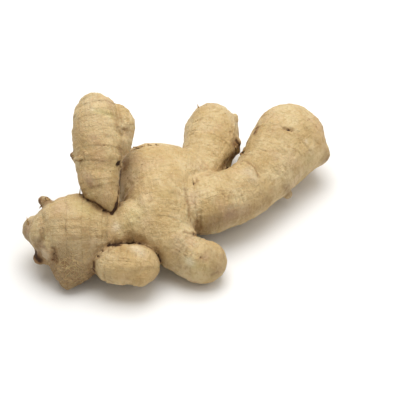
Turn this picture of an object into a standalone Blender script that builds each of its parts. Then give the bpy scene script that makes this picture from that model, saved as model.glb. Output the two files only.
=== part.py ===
"""Ginger root: one fresh rhizome, a hand of thick fingers lying on a table.

The rhizome grew as one piece, so it is one solid. Its skeleton is a set of lobes, each a curved
axis with a girth along it. The lobes make one smooth skin, in which each flows into the others by
its own fillet. Leaf-scar rings, lumps and the net of the dry stub rise from that skin by formula,
and the underside is cut flat at the four low spots on which the root rests.
"""

import math

import bmesh
import bpy
import numpy as np
from mathutils import Vector, noise

MM = 0.001

# Stations are measured in millimetres from the table point under the crook between the front
# right finger and the right finger. The row's origin, the table point under the middle of the
# whole root, lies here in them.
ORIGIN_MM = (-9.4, -11.5)

# Each lobe: the fillet where it joins the lobes before it, then its stations (x, y, z, radius).
LOBES = {
    "middle_knuckle": (8.0, [(-19, -40, 19, 14.5), (-19, -26, 21, 18.3), (-22, -10, 21.5, 17.8)]),
    "middle_back": (8.0, [(-26, -8.5, 21, 17.6), (-12, -10, 21, 17.6)]),
    "neck_core": (6.0, [(-49, -44, 19, 10.6), (-38, -42, 19, 8.3), (-25, -38, 21, 11.7)]),
    "neck": (2.0, [(-49, -44, 20, 10.6), (-41, -42, 21, 8.8), (-34, -40, 23, 9.6)]),
    "old_knuckle": (5.0, [(-67, -44.5, 20, 14.8), (-60, -44, 20, 17.9), (-49, -44, 20, 13.5)]),
    "mid_finger": (
        3.5,
        [(-8, -12, 20, 12), (0, 2, 20, 12.3), (5, 18, 20, 13.8), (6.5, 30, 20, 14.5), (6, 36, 20, 12.5)],
    ),
    "front_right": (
        5.0,
        [(-17, -45, 17, 11.5), (-10, -50, 14, 10.6), (-4, -53, 12, 9.8), (3, -54, 10.5, 9.6)],
    ),
    "right_finger": (
        2.5,
        [
            (-9, -25, 20, 14),
            (2, -23, 19, 15.4),
            (14, -19, 18, 14.2),
            (25, -10, 18, 14),
            (33, 0, 19, 15),
            (40, 12, 20, 17.5),
            (46, 22, 21, 19.5),
        ],
    ),
    "front_left": (1.2, [(-42, -60, 15, 8.8), (-36, -61, 15, 9.9), (-29, -60.5, 14, 9.8)]),
    "front_left_nub": (2.0, [(-31, -61, 13, 6.0), (-28, -66, 9, 3.0)]),
    "netted_stub": (
        4.0,
        [(-58, -50, 14, 12.5), (-60.5, -55.5, 11, 10.2), (-62.5, -61.5, 7, 4.8), (-63, -64, 5, 2.3)],
    ),
    "left_bud": (3.0, [(-72, -43, 19, 8.2), (-79.5, -40, 18, 6.8)]),
    "left_low_bud": (1.5, [(-70, -48.5, 15, 6.3), (-74, -51, 13, 5.3)]),
    "left_low_scar": (1.0, [(-74, -52, 13, 4.3), (-77, -54, 12, 3.0)]),
    "top_left_stub": (1.2, [(-71, -37, 28, 3.6), (-74, -34.5, 30, 3.0), (-75.5, -34, 31, 2.6)]),
    "upright": (
        1.2,
        [
            (-43, -41, 31.5, 2.7),
            (-44, -38.5, 34, 4.9),
            (-46.5, -35.5, 37.5, 7.5),
            (-48.5, -31.5, 42, 9.3),
            (-49, -25.5, 46, 10.5),
            (-48.5, -19.5, 50.5, 11.8),
            (-49, -13, 54.5, 12.5),
            (-50, -6.5, 58.5, 11.6),
            (-51, -1.5, 61, 8.7),
        ],
    ),
    "upright_root": (4.0, [(-46, -33, 23, 6.5), (-48, -28, 31, 7.5), (-48.5, -24, 38, 8.5)]),
    "upright_knob": (
        0.8,
        [
            (-42, -15, 47, 4.4),
            (-39.5, -12, 51, 5.8),
            (-38, -8, 54, 6.5),
            (-38.5, -5, 57, 6.8),
            (-40, -2.5, 59, 5.6),
        ],
    ),
    "upright_scale": (0.8, [(-58.5, -22.5, 49, 2.4), (-61, -21, 49, 1.3)]),
    "shoulder_scale": (0.8, [(-29, -1, 34, 3.0), (-32, 0.5, 34, 1.8)]),
    "mid_bud": (1.5, [(15, 21, 18, 4.2), (18, 21.5, 16.5, 2.8), (19, 21.5, 16, 2.0)]),
    "mid_corner": (1.2, [(17, 37, 23, 3.7), (18, 38, 24, 2.4)]),
    "right_stub": (1.0, [(24, 6.5, 24, 2.6), (21.5, 7.5, 25, 1.5)]),
    "right_bump": (4.0, [(54, 16.5, 20, 10.4), (61, 16.5, 18, 6.5)]),
    "right_under_bud": (1.5, [(41, -4, 12, 4.1), (45, -4, 8, 2.6)]),
    "foot_right": (6.0, [(44, 17, 9, 9.6), (45, 18, 9, 9.6)]),
    "foot_back": (6.0, [(-24, -6, 12, 12.7), (-23, -6, 12, 12.7)]),
    "foot_left": (6.0, [(-60, -42, 10, 10.6), (-59, -42, 10, 10.6)]),
    "foot_front": (4.0, [(0, -53.5, 8.5, 9.0), (1, -53.5, 8.5, 9.0)]),
}

# Leaf-scar rings that stand out: the station that each lies at, counted from 0, and its height.
LEAF_SCARS = {
    "middle_knuckle": [(0.6, 0.4), (1.1, 0.5), (1.5, 0.4), (2.1, 0.4)],
    "neck": [(0.4, 0.4), (1.2, 0.5)],
    "old_knuckle": [(-0.6, 0.55), (0.0, 0.7), (0.5, 0.55), (1.0, 0.5), (1.5, 0.55)],
    "mid_finger": [(1.2, 0.5), (1.9, 0.75), (2.4, 0.55), (3.2, 0.4)],
    "right_finger": [
        (0.5, 0.85),
        (1.3, 0.4),
        (2.1, 0.5),
        (3.0, 0.5),
        (3.9, 0.75),
        (4.7, 0.4),
        (5.6, 0.5),
    ],
    "front_right": [(0.9, 0.5), (1.7, 0.55), (2.5, 0.65), (3.3, 0.55)],
    "front_left": [(-0.5, 0.5), (0.3, 0.65), (1.0, 0.5), (1.7, 0.5), (2.4, 0.5)],
    "left_bud": [(0.3, 0.5), (0.9, 0.4)],
    "upright": [(2.4, 0.55), (3.2, 0.55), (4.6, 1.0), (5.4, 0.4), (6.3, 0.4), (7.3, 0.7)],
    "upright_knob": [(1.4, 0.5), (2.6, 0.4)],
}
SCAR_WIDTH = 1.15
SCAR_WOBBLE = 1.4
SCAR_REACH = 3.0

# The root's uneven growth: how high its lumps stand, and how far apart they are.
LUMPS = [(0.9, 17.0), (0.35, 7.0)]
# Below this height the surface grows plainer towards the table.
CALM_BELOW = 3.0

# The net of dry bark on the old stub: where it lies, how far it reaches, cell size and height.
NET_CENTRE = (-61, -57, 8)
NET_REACH = 15.0
NET_CELL = 3.4
NET_HEIGHT = 0.8

# Mesh settings, in millimetres.
LOFT_STEP = 2.0
LOFT_SIDES = 20
DOME_SLOPES = [math.radians(angle) for angle in (22, 45, 65)]
FULLNESS = 0.9
VOXEL = 1.0
SMOOTH_ROUNDS = 5
RELIEF_ROUNDS = 3
STEP_LIMIT = 0.8
SKIN_FACES = 11500

SKIN_RGB = (0.62, 0.44, 0.24)
SKIN_ROUGHNESS = 0.62


def in_row(point):
    """A point measured as the stations are, in row millimetres."""
    return np.array([point[0] - ORIGIN_MM[0], point[1] - ORIGIN_MM[1], *point[2:]], float)


def smooth_path(stations):
    """Rows of x, y, z, radius and station number along a Catmull-Rom curve through the stations."""
    ends = [2 * stations[0] - stations[1], *stations, 2 * stations[-1] - stations[-2]]
    path = []
    for number, (a, b, c, d) in enumerate(zip(ends, ends[1:], ends[2:], ends[3:])):
        count = max(2, math.ceil(np.linalg.norm(c[:3] - b[:3]) / LOFT_STEP))
        for t in np.arange(count) / count:
            bend = (2 * a - 5 * b + 4 * c - d) * t**2 + (3 * b - a - 3 * c + d) * t**3
            path.append([*(0.5 * (2 * b + (c - a) * t + bend)), number + t])
    path.append([*stations[-1], len(stations) - 1])
    return np.array(path)


def skeleton():
    """Each lobe's fillet and its smooth path, in row millimetres."""
    return {
        name: (fillet, smooth_path([in_row(station) for station in stations]))
        for name, (fillet, stations) in LOBES.items()
    }


def loop_of(mesh, centre, tangent, side, radius):
    """Adds one loop of vertices round an axis, its first vertex towards side."""
    up = tangent.cross(side)
    loop = []
    for turn in np.arange(LOFT_SIDES) * math.tau / LOFT_SIDES:
        loop.append(mesh.verts.new(centre + (side * math.cos(turn) + up * math.sin(turn)) * radius))
    return loop


def dome(centre, tangent, radius):
    """The centre, tangent and radius of each ring of a dome that starts at centre."""
    for slope in DOME_SLOPES:
        yield centre + tangent * radius * math.sin(slope), tangent, radius * math.cos(slope)


def loft(mesh, path):
    """Adds one closed tube along the path to a bmesh, FULLNESS too thick, with a dome at each end."""
    centres = [Vector(row[:3]) for row in path]
    tangents = [Vector(row).normalized() for row in np.gradient(path[:, :3], axis=0)]
    radii = path[:, 3] + FULLNESS
    first_dome = [(spot, -out, radius) for spot, out, radius in dome(centres[0], -tangents[0], radii[0])]
    rings = [*reversed(first_dome), *zip(centres, tangents, radii)]
    rings += dome(centres[-1], tangents[-1], radii[-1])
    side = tangents[0].orthogonal()
    loops = []
    for centre, tangent, radius in rings:
        side = (side - tangent * side.dot(tangent)).normalized()
        loops.append(loop_of(mesh, centre, tangent, side, radius))
    tip_first = mesh.verts.new(centres[0] - tangents[0] * radii[0])
    tip_last = mesh.verts.new(centres[-1] + tangents[-1] * radii[-1])
    for i in range(LOFT_SIDES):
        j = (i + 1) % LOFT_SIDES
        mesh.faces.new((tip_first, loops[0][j], loops[0][i]))
        mesh.faces.new((tip_last, loops[-1][i], loops[-1][j]))
        for near, far in zip(loops, loops[1:]):
            mesh.faces.new((near[i], near[j], far[j], far[i]))


def lobe_field(points, path):
    """Each point's distance from a lobe's surface, and its place along the lobe, past the ends too."""
    gap = np.full(len(points), np.inf)
    along = np.zeros(len(points))
    start = 0.0
    for number, (a, b) in enumerate(zip(path, path[1:])):
        step = b[:3] - a[:3]
        length = np.linalg.norm(step)
        free = (points - a[:3]) @ step / length**2
        held = np.clip(free, 0, 1)
        away = np.linalg.norm(points - a[:3] - held[:, None] * step, axis=1) - (a[3] + held * (b[3] - a[3]))
        low = -np.inf if number == 0 else 0
        high = np.inf if number == len(path) - 2 else 1
        along = np.where(away < gap, start + np.clip(free, low, high) * length, along)
        gap = np.minimum(gap, away)
        start += length
    return gap, along


def skin_distance(points, lobes):
    """Distance from the whole skin, each lobe joined to those before it by its fillet."""
    total = None
    for fillet, path in lobes.values():
        gap = lobe_field(points, path)[0]
        if total is None:
            total = gap
            continue
        near = np.clip(1 - np.abs(total - gap) / fillet, 0, 1)
        total = np.minimum(total, gap) - near**2 * fillet / 4
    return total


def noise_at(points, scale):
    """Smooth noise between -1 and 1 whose waves are about scale millimetres long."""
    return np.array([noise.noise(Vector(point) / scale) for point in points])


def leaf_scars(points, lobes):
    """Height of the leaf-scar rings: a low wavy ridge round a lobe, with a dip on its tip side."""
    height = np.zeros(len(points))
    wobble = noise_at(points, 9.0) * SCAR_WOBBLE
    for name, scars in LEAF_SCARS.items():
        path = lobes[name][1]
        gap, along = lobe_field(points, path)
        own = np.clip(1 - gap / SCAR_REACH, 0, 1)
        lengths = np.cumsum([0, *np.linalg.norm(np.diff(path[:, :3], axis=0), axis=1)])
        pace = lengths[-1] / path[-1, 4]
        for station, high in scars:
            place = np.interp(station, path[:, 4], lengths) + min(station, 0) * pace
            past = (along - place - wobble) / SCAR_WIDTH
            height += own * high * (np.exp(-(past**2)) - 0.5 * np.exp(-((past - 1.8) ** 2)))
    return height


def bark_net(points):
    """Height of the raised net round the old stub: cell walls that fade out with distance."""
    height = np.zeros(len(points))
    away = np.linalg.norm(points - in_row(NET_CENTRE), axis=1)
    for i in np.flatnonzero(away < NET_REACH):
        first, second = noise.voronoi(Vector(points[i]) / NET_CELL)[0][:2]
        wall = max(0.0, 1 - (second - first) * 3)
        height[i] = NET_HEIGHT * wall * min(1.0, (1 - away[i] / NET_REACH) * 2)
    return height


def relief(points, lobes):
    """How far the surface stands out from the smooth skin at each point, down to none at the table."""
    height = leaf_scars(points, lobes) + bark_net(points)
    for high, wide in LUMPS:
        height += high * noise_at(points, wide)
    return height * np.clip(points[:, 2] / CALM_BELOW, 0, 1)


def mesh_points(mesh):
    points = np.empty(len(mesh.vertices) * 3, np.float32)
    mesh.vertices.foreach_get("co", points)
    return points.reshape(-1, 3).astype(float)


def mesh_normals(mesh):
    normals = np.empty(len(mesh.vertices) * 3, np.float32)
    mesh.vertex_normals.foreach_get("vector", normals)
    return normals.reshape(-1, 3).astype(float)


def evened(mesh):
    """Evens out the spacing of the vertices, which also opens any fold."""
    shape = bmesh.new()
    shape.from_mesh(mesh)
    axes = {"use_axis_x": True, "use_axis_y": True, "use_axis_z": True}
    bmesh.ops.smooth_vert(shape, verts=shape.verts, factor=0.5, **axes)
    shape.to_mesh(mesh)
    shape.free()


def settle(mesh, lobes, height):
    """Brings the vertices towards a height above the filleted skin, along their normals."""
    points = mesh_points(mesh)
    step = np.clip(height - skin_distance(points, lobes), -STEP_LIMIT, STEP_LIMIT)
    points += mesh_normals(mesh) * step[:, None]
    mesh.vertices.foreach_set("co", points.astype(np.float32).ravel())
    mesh.update()


def applied(obj):
    """Replaces an object's mesh by its evaluated one, and clears its modifiers."""
    graph = bpy.context.evaluated_depsgraph_get()
    mesh = bpy.data.meshes.new_from_object(obj.evaluated_get(graph))
    obj.modifiers.clear()
    old = obj.data
    obj.data = mesh
    bpy.data.meshes.remove(old)


def merged(obj):
    """Makes one clean closed skin of an object whose shapes overlap, or whose surface folds."""
    remesh = obj.modifiers.new("merge", "REMESH")
    remesh.mode = "VOXEL"
    remesh.voxel_size = VOXEL
    applied(obj)


def lofted_lobes(lobes):
    """One object, in millimetres, that holds a tube for each lobe."""
    shape = bmesh.new()
    for _, path in lobes.values():
        loft(shape, path)
    bmesh.ops.recalc_face_normals(shape, faces=shape.faces)
    mesh = bpy.data.meshes.new("ginger_root")
    shape.to_mesh(mesh)
    shape.free()
    obj = bpy.data.objects.new("ginger_root", mesh)
    bpy.context.scene.collection.objects.link(obj)
    return obj


def thinned(obj):
    """Leaves about SKIN_FACES triangles, fewest where the surface is plainest."""
    thin = obj.modifiers.new("thin", "DECIMATE")
    thin.ratio = SKIN_FACES / (2 * len(obj.data.polygons))
    applied(obj)


def cut_at_table(mesh):
    """Takes off what reaches below the table, and closes each cut with a flat face."""
    shape = bmesh.new()
    shape.from_mesh(mesh)
    everything = [*shape.verts, *shape.edges, *shape.faces]
    bmesh.ops.bisect_plane(shape, geom=everything, plane_co=(0, 0, 0), plane_no=(0, 0, 1), clear_inner=True)
    rims = [edge for edge in shape.edges if edge.is_boundary]
    flats = bmesh.ops.holes_fill(shape, edges=rims)["faces"]
    bmesh.ops.triangulate(shape, faces=flats)
    bmesh.ops.recalc_face_normals(shape, faces=shape.faces)
    shape.to_mesh(mesh)
    shape.free()


def skin_material():
    material = bpy.data.materials.new("ginger_skin")
    material.use_nodes = True
    shader = material.node_tree.nodes["Principled BSDF"]
    shader.inputs["Base Color"].default_value = (*SKIN_RGB, 1)
    shader.inputs["Roughness"].default_value = SKIN_ROUGHNESS
    shader.inputs["Metallic"].default_value = 0
    return material


def main():
    for old in list(bpy.data.objects):
        bpy.data.objects.remove(old)
    lobes = skeleton()
    root = lofted_lobes(lobes)
    merged(root)
    for _ in range(SMOOTH_ROUNDS):
        evened(root.data)
        settle(root.data, lobes, 0.0)
    merged(root)
    height = relief(mesh_points(root.data), lobes)
    for _ in range(RELIEF_ROUNDS):
        settle(root.data, lobes, height)
    merged(root)
    thinned(root)
    cut_at_table(root.data)
    root.data.transform([[MM, 0, 0, 0], [0, MM, 0, 0], [0, 0, MM, 0], [0, 0, 0, 1]])
    root.data.shade_smooth()
    root.data.materials.append(skin_material())
    return root


if __name__ == "__main__":
    main()
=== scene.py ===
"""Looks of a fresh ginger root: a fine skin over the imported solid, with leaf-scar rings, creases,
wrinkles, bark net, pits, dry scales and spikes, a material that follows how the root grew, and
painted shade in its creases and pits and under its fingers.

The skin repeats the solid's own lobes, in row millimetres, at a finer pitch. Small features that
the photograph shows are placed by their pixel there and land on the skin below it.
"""

import math

import bmesh
import bpy
import numpy as np
from mathutils import Matrix, Vector, noise
from mathutils.bvhtree import BVHTree


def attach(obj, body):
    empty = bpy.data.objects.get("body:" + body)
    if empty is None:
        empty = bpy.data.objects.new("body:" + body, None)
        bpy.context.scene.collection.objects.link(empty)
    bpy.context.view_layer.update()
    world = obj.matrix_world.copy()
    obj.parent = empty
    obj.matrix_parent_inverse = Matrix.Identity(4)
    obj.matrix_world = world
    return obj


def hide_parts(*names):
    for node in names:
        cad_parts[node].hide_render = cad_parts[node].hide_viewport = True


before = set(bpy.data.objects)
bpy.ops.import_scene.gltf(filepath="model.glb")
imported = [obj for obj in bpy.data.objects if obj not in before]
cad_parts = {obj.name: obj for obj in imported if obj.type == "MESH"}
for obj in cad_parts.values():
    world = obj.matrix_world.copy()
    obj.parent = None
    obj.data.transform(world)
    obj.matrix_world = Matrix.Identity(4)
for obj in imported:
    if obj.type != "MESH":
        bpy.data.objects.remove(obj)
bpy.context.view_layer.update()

MM = 0.001

# Stations are measured in millimetres from the table point under the crook between the front
# right finger and the right finger. The row's origin, the table point under the middle of the
# whole root, lies here in them.
ORIGIN_MM = (-9.4, -11.5)

# Each lobe: the fillet where it joins the lobes before it, then its stations (x, y, z, radius).
LOBES = {
    "middle_knuckle": (8.0, [(-19, -40, 19, 14.5), (-19, -26, 21, 18.3), (-22, -10, 21.5, 17.8)]),
    "middle_back": (8.0, [(-26, -8.5, 21, 17.6), (-12, -10, 21, 17.6)]),
    "neck_core": (6.0, [(-49, -44, 19, 10.6), (-38, -42, 19, 8.3), (-25, -38, 21, 11.7)]),
    "neck": (2.0, [(-49, -44, 20, 10.6), (-41, -42, 21, 8.8), (-34, -40, 23, 9.6)]),
    "old_knuckle": (5.0, [(-67, -44.5, 20, 14.8), (-60, -44, 20, 17.9), (-49, -44, 20, 13.5)]),
    "mid_finger": (3.5, [
        (-8, -12, 20, 12), (0, 2, 20, 12.3), (5, 18, 20, 13.8), (6.5, 30, 20, 14.5), (6, 36, 20, 12.5),
    ]),
    "front_right": (5.0, [
        (-17, -45, 17, 11.5), (-10, -50, 14, 10.6), (-4, -53, 12, 9.8), (3, -54, 10.5, 9.6),
    ]),
    "right_finger": (2.5, [
        (-9, -25, 20, 14), (2, -23, 19, 15.4), (14, -19, 18, 14.2), (25, -10, 18, 14),
        (33, 0, 19, 15), (40, 12, 20, 17.5), (46, 22, 21, 19.5),
    ]),
    "front_left": (1.2, [(-42, -60, 15, 8.8), (-36, -61, 15, 9.9), (-29, -60.5, 14, 9.8)]),
    "front_left_nub": (2.0, [(-31, -61, 13, 6.0), (-28, -66, 9, 3.0)]),
    "netted_stub": (4.0, [
        (-58, -50, 14, 12.5), (-60.5, -55.5, 11, 10.2), (-62.5, -61.5, 7, 4.8), (-63, -64, 5, 2.3),
    ]),
    "left_bud": (3.0, [(-72, -43, 19, 8.2), (-79.5, -40, 18, 6.8)]),
    "left_low_bud": (1.5, [(-70, -48.5, 15, 6.3), (-74, -51, 13, 5.3)]),
    "left_low_scar": (1.0, [(-74, -52, 13, 4.3), (-77, -54, 12, 3.0)]),
    "top_left_stub": (1.2, [(-71, -37, 28, 3.6), (-74, -34.5, 30, 3.0), (-75.5, -34, 31, 2.6)]),
    "upright": (1.2, [
        (-43, -41, 31.5, 2.7), (-44, -38.5, 34, 4.9), (-46.5, -35.5, 37.5, 7.5),
        (-48.5, -31.5, 42, 9.3), (-49, -25.5, 46, 10.5), (-48.5, -19.5, 50.5, 11.8),
        (-49, -13, 54.5, 12.5), (-50, -6.5, 58.5, 11.6), (-51, -1.5, 61, 8.7),
    ]),
    "upright_root": (4.0, [(-46, -33, 23, 6.5), (-48, -28, 31, 7.5), (-48.5, -24, 38, 8.5)]),
    "upright_knob": (0.8, [
        (-42, -15, 47, 4.4), (-39.5, -12, 51, 5.8), (-38, -8, 54, 6.5), (-38.5, -5, 57, 6.8),
        (-40, -2.5, 59, 5.6),
    ]),
    "upright_scale": (0.8, [(-58.5, -22.5, 49, 2.4), (-61, -21, 49, 1.3)]),
    "shoulder_scale": (0.8, [(-29, -1, 34, 3.0), (-32, 0.5, 34, 1.8)]),
    "mid_bud": (1.5, [(15, 21, 18, 4.2), (18, 21.5, 16.5, 2.8), (19, 21.5, 16, 2.0)]),
    "mid_corner": (1.2, [(17, 37, 23, 3.7), (18, 38, 24, 2.4)]),
    "right_stub": (1.0, [(24, 6.5, 24, 2.6), (21.5, 7.5, 25, 1.5)]),
    "right_bump": (4.0, [(54, 16.5, 20, 10.4), (61, 16.5, 18, 6.5)]),
    "right_under_bud": (1.5, [(41, -4, 12, 4.1), (45, -4, 8, 2.6)]),
    "foot_right": (6.0, [(44, 17, 9, 9.6), (45, 18, 9, 9.6)]),
    "foot_back": (6.0, [(-24, -6, 12, 12.7), (-23, -6, 12, 12.7)]),
    "foot_left": (6.0, [(-60, -42, 10, 10.6), (-59, -42, 10, 10.6)]),
    "foot_front": (4.0, [(0, -53.5, 8.5, 9.0), (1, -53.5, 8.5, 9.0)]),
}

# Leaf-scar rings that stand out: the station that each lies at, counted from 0, and its height.
LEAF_SCARS = {
    "middle_knuckle": [(0.6, 0.4), (1.1, 0.5), (1.5, 0.4), (2.1, 0.4)],
    "neck": [(0.4, 0.4), (1.2, 0.5)],
    "old_knuckle": [(-0.6, 0.55), (0.0, 0.7), (0.5, 0.55), (1.0, 0.5), (1.5, 0.55)],
    "mid_finger": [(1.2, 0.5), (1.9, 0.75), (2.4, 0.55), (3.2, 0.4)],
    "right_finger": [
        (0.5, 0.85), (1.3, 0.4), (2.1, 0.5), (3.0, 0.5), (3.9, 0.75), (4.7, 0.4), (5.6, 0.5),
    ],
    "front_right": [(0.9, 0.5), (1.7, 0.55), (2.5, 0.65), (3.3, 0.55)],
    "front_left": [(-0.5, 0.5), (0.3, 0.65), (1.0, 0.5), (1.7, 0.5), (2.4, 0.5)],
    "left_bud": [(0.3, 0.5), (0.9, 0.4)],
    "upright": [(2.4, 0.55), (3.2, 0.55), (4.6, 1.0), (5.4, 0.4), (6.3, 0.4), (7.3, 0.7)],
    "upright_knob": [(1.4, 0.5), (2.6, 0.4)],
}
SCAR_WIDTH = 1.15
SCAR_WOBBLE = 1.4
SCAR_WOBBLE_SIZE = 9.0
SCAR_REACH = 3.0
# Past each ring, in ring widths: a groove, with its share of the ring's height, and a brown edge.
GROOVE_SHARE = 0.5
GROOVE_PLACE = 1.8
EDGE_PLACE = 0.9
EDGE_WIDTH = 0.5

# The root's lumps: how high they stand, and how far apart they are.
LUMPS = [(0.9, 17.0), (0.35, 7.0)]
# Below this height the surface grows plainer towards the table.
CALM_BELOW = 3.0

# The net of dry bark on the old stub: its place, reach, cell size and height, how steep its
# walls are, and how fast it fades towards its reach.
NET_CENTRE = (-61, -57, 8)
NET_REACH = 15.0
NET_CELL = 3.4
NET_HEIGHT = 0.8
NET_STEEPNESS = 3
NET_FADING = 2

# How the lobes become tubes: the step along them and how much too thick they are, in millimetres,
# their sides, and the slopes of the rings of a dome.
LOFT_STEP = 2.0
LOFT_SIDES = 20
DOME_SLOPES = [math.radians(angle) for angle in (22, 45, 65)]
FULLNESS = 0.9
# How the tubes become one skin: voxel sizes, the longest move of a vertex in one round and how far
# a lobe is felt, in millimetres, and the rounds for the smooth skin, its relief and the fine one.
COARSE_VOXEL = 1.0
VOXEL = 0.72
STEP_LIMIT = 0.8
FIELD_MARGIN = 12.0
SMOOTH_ROUNDS = 5
RELIEF_ROUNDS = 3
FINE_ROUNDS = 2

# The photograph: its side in pixels, and the camera's angle above the table, distance and lens.
PHOTO_SIDE = 400
CAMERA_ANGLE = math.radians(43)
CAMERA_DISTANCE = 620.0
CAMERA_LENS = 107.0
CAMERA_SENSOR = 36.0
# The photograph's directions in the row, and its middle in pixels.
PHOTO_RIGHT = Vector((1, 0, 0))
PHOTO_UP = Vector((0, math.sin(CAMERA_ANGLE), math.cos(CAMERA_ANGLE)))
PHOTO_BACK = Vector((0, -math.cos(CAMERA_ANGLE), math.sin(CAMERA_ANGLE)))
PHOTO_MIDDLE = PHOTO_SIDE / 2

# Lines start this far above the skin, in millimetres, so that they don't meet it at once.
LINE_START = 0.4
# Painted crease shade: how far a wall may be for the skin to be painted darker, and how steeply lines
# rise towards it.
CREASE_REACH = 7.0
CREASE_LEAN = 0.45
# Seams, painted shade with some real dark marks: how uneven their edges are and at what size in
# millimetres, the least shade that counts, and how fast they fade on skin that turns away from the
# camera.
SEAM_RAGGED = 0.7
SEAM_RAGGED_SIZE = 2.5
SEAM_LEAST = 0.02
SEAM_FACING_SLOPE = 3
SEAM_FACING_START = 0.15

# Fine relief that the solid leaves out: height, size across the growth and size along it.
MINOR_RINGS = (0.12, 7.0, 1.7)
WRINKLES = (0.24, 2.0, 7.0)
CROSS_WRINKLES = (0.2, 4.0, 1.8)
PEBBLES = (0.26, 2.4)
# Minor rings lie where noise passes zero, as sharp as this, in patches that other noise gives.
RING_SHARPNESS = 4
RING_PATCH_SIZE = 8.0
RING_PATCH_SLOPE = 2
RING_PATCH_START = 0.6
# What follows a lobe's growth is full where the next lobe is this much farther off.
OWN_BAND = 2.0
# Leaf scars fade in stretches of this size, by noise scaled and raised so, down to this share.
FADE_SIZE = 8.0
FADE_SLOPE = 1.6
FADE_START = 0.65
FADE_LEAST = 0.25
# No lobe runs this way. Round each lobe, the growth's coordinates start from it.
FIXED_SIDE = (0.3, 0.2, 1.0)
# The least offset from a lobe's axis that gives a direction round it, in millimetres.
LEAST_OFFSET = 0.1

# Dents, or bumps where the depth is below zero, that the photograph shows: pixels, reach and depth.
DENTS = [
    ([(140.5, 280.5), (142.5, 280)], 2.6, -2.8),
    ([(80, 157)], 1.1, -0.9),
    ([(47, 253.5)], 3.0, -2.4),
    ([(37, 257)], 2.6, -1.2),
    ([(126, 149), (125, 143)], 3.0, -2.2),
    ([(31, 232)], 4.0, -0.8),
    ([(235, 157), (231, 163), (226, 167)], 3.2, 2.6),
    ([(244, 164), (254, 170), (259, 181)], 1.2, -0.5),
    ([(248.5, 162), (258, 168), (263, 178)], 1.1, 0.4),
    ([(186, 238), (184, 252)], 1.6, 0.5),
    ([(42, 218), (45, 226), (44, 236), (38, 244)], 1.7, 1.2),
    ([(36, 247), (43, 247)], 1.3, 0.8),
    ([(52, 249), (54, 257), (51, 264)], 1.5, 0.9),
    ([(238, 142.5)], 2.2, -1.2),
    ([(109, 253), (122, 250), (135, 254)], 2.5, 0.5),
    ([(104, 270), (120, 266), (140, 268)], 2.0, -0.5),
    ([(116, 188)], 3.6, 1.8),
]
# How many times its reach a mark is felt, at most.
MARK_ROOM = 2.5
# Marks that the photograph shows: the pixels that each runs through, its reach in millimetres,
# and its strength, which for a pit is its depth in millimetres.
# Pits are dented and coloured dark: partly real dark dots, scars and holes, partly painted shade in
# holes and slits.
PITS = [
    ([(118, 164), (120, 163)], 1.3, 1.6),
    ([(81, 158.5), (83, 156)], 0.7, 0.5),
    ([(98.2, 256)], 0.75, 1.1),
    ([(102.6, 250.4)], 0.75, 1.1),
    ([(283.8, 128.1), (288, 128.8), (292.5, 129.8)], 0.8, 1.3),
    ([(258, 128.6), (254, 136.4)], 0.8, 0.45),
    ([(173.7, 158.6)], 0.7, 0.5),
    ([(200.7, 257.6)], 0.8, 0.55),
    ([(118.5, 129), (120, 132), (122.5, 135.5)], 0.8, 0.9),
    ([(55.2, 256.5), (57.5, 260.3)], 1.4, 0.35),
    ([(68.2, 282.2)], 0.9, 0.5),
    ([(96.7, 111), (103, 112), (110.5, 114.4)], 0.8, 0.5),
    ([(36, 254), (38.5, 258), (41, 261)], 1.6, 0.7),
    ([(307.8, 143)], 0.5, 0.3),
    ([(230.5, 192.5)], 0.8, 0.35),
]
# Painted shade along the seams between lobes, where the crevices lie in shadow, with a few real dark
# dots and rims, marked on the photograph itself, so their reach is in pixels.
SEAM_SHADE_AND_MARKS = [
    ([(121.3, 166), (120, 176), (119.3, 186)], 1.4, 0.5),
    ([(119.3, 186), (118.6, 196), (117, 204)], 1.5, 0.6),
    ([(117, 204), (115, 209), (111.8, 213.5)], 2.0, 1.0),
    ([(112, 213.5), (104, 209), (95, 202.5), (87, 199.5)], 1.5, 0.6),
    ([(93.5, 264), (93.5, 256), (98, 248), (107, 245)], 1.4, 0.3),
    ([(108, 245.5), (116, 244.5)], 1.6, 0.8),
    ([(116, 245), (121, 244)], 1.9, 1.0),
    ([(121, 244), (126, 243.5), (139, 244)], 1.5, 0.55),
    ([(139, 244), (151, 248)], 1.5, 0.5),
    ([(151, 248), (158, 256), (160, 264)], 1.6, 0.32),
    ([(94, 262), (94, 270), (98, 279)], 1.4, 0.6),
    ([(184, 232), (193, 234)], 1.8, 0.4),
    ([(194, 234), (201, 236), (208, 238)], 3.0, 0.5),
    ([(35, 251), (36.5, 257), (39, 261)], 3.0, 0.6),
    ([(39.5, 200), (39.5, 206)], 1.9, 0.5),
    ([(122, 158), (125, 164), (124, 170)], 2.8, 0.38),
    ([(54, 248), (56, 254), (57, 262)], 2.4, 0.42),
    ([(200.2, 257.6), (201.2, 257.6)], 1.2, 0.55),
    ([(98, 255.6), (98, 256.4)], 1.0, 1.0),
    ([(102.6, 250), (102.6, 250.8)], 1.0, 1.0),
    ([(205, 176), (214, 173), (222, 167)], 2.8, 0.22),
    ([(222, 167), (230, 160), (236, 153)], 2.6, 0.45),
    ([(236, 140), (240, 147), (243, 153)], 2.4, 0.55),
    ([(110, 106), (117, 123), (121, 134)], 2.2, 0.26),
    ([(40, 219), (42, 228), (41, 238)], 3.0, 0.28),
    ([(36, 245), (43, 247), (50, 252), (55, 260)], 2.2, 0.36),
    ([(70, 155), (72, 158)], 1.8, 0.6),
    ([(257, 126), (254, 134)], 1.7, 0.5),
    ([(119, 146), (122, 155), (121, 163), (119, 172)], 3.0, 0.38),
    ([(98, 206), (106, 210), (110, 212)], 2.0, 0.4),
]
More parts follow.
